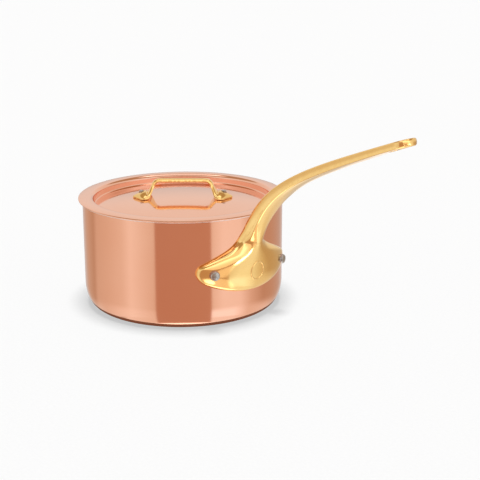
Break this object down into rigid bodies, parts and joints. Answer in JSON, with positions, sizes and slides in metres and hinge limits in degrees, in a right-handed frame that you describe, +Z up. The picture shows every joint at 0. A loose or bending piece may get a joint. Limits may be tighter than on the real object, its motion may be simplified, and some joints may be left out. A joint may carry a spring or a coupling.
{
  "type": "saucepan",
  "caption": "Straight-walled saucepan with a rounded base, a long upswept handle riveted on by a winged plate, and a sunk lid whose flat flange rests on the rim, with a bracket handle.",
  "frame": {"origin": "centre of the base's flat underside", "axes": "+Z up along the pan's axis, +X along the long handle"},
  "size_m": [0.3289, 0.17, 0.1713],
  "materials": {
    "copper": "polished",
    "bronze": "polished",
    "lining_steel": "brushed",
    "rivet_steel": "satin"
  },
  "bodies": {
    "pan": {"pan_shell": "copper", "pan_lining": "lining_steel", "long_handle": "bronze", "handle_rivet_left": "rivet_steel", "handle_rivet_right": "rivet_steel"},
    "lid": {"lid_shell": "copper", "lid_lining": "lining_steel", "lid_handle": "bronze", "lid_rivet_left": "rivet_steel", "lid_rivet_right": "rivet_steel"}
  },
  "joints": [
    {"name": "lid_lift", "type": "slide", "parent": "pan", "child": "lid", "axis": [0, 0, 1], "range_m": [0, 0.12]}
  ]
}
